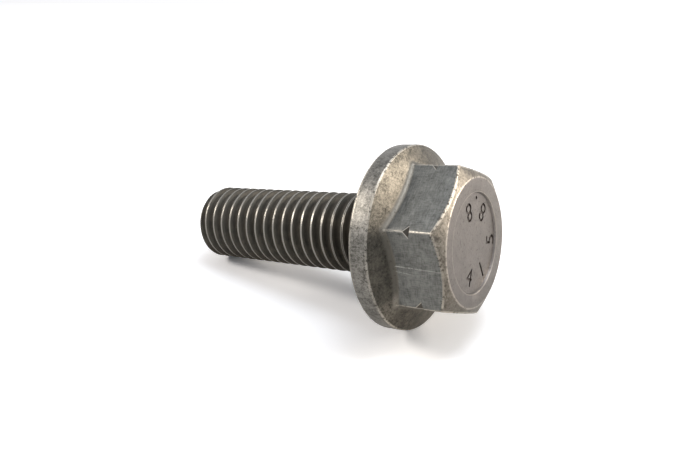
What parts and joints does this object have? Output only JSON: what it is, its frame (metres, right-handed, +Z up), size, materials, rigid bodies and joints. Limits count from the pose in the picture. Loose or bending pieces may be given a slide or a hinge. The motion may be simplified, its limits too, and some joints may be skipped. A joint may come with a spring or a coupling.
{
  "type": "flange bolt",
  "caption": "Hexagon head bolt with a washer flange formed on it, a shallow recess in the head and a coarse metric thread along its shank, in dark plain steel.",
  "frame": {"origin": "on the ground, in the middle of the top of the head, on which the bolt stands", "axes": "+Z up along the bolt's own axis from the head to the tip, +X towards a corner of the hexagon"},
  "size_m": [0.0176, 0.0176, 0.0322],
  "materials": {
    "steel": "plain dark cold-formed steel, worn bright along its edges"
  },
  "bodies": {
    "root": {"flange_bolt": "steel"}
  },
  "joints": []
}
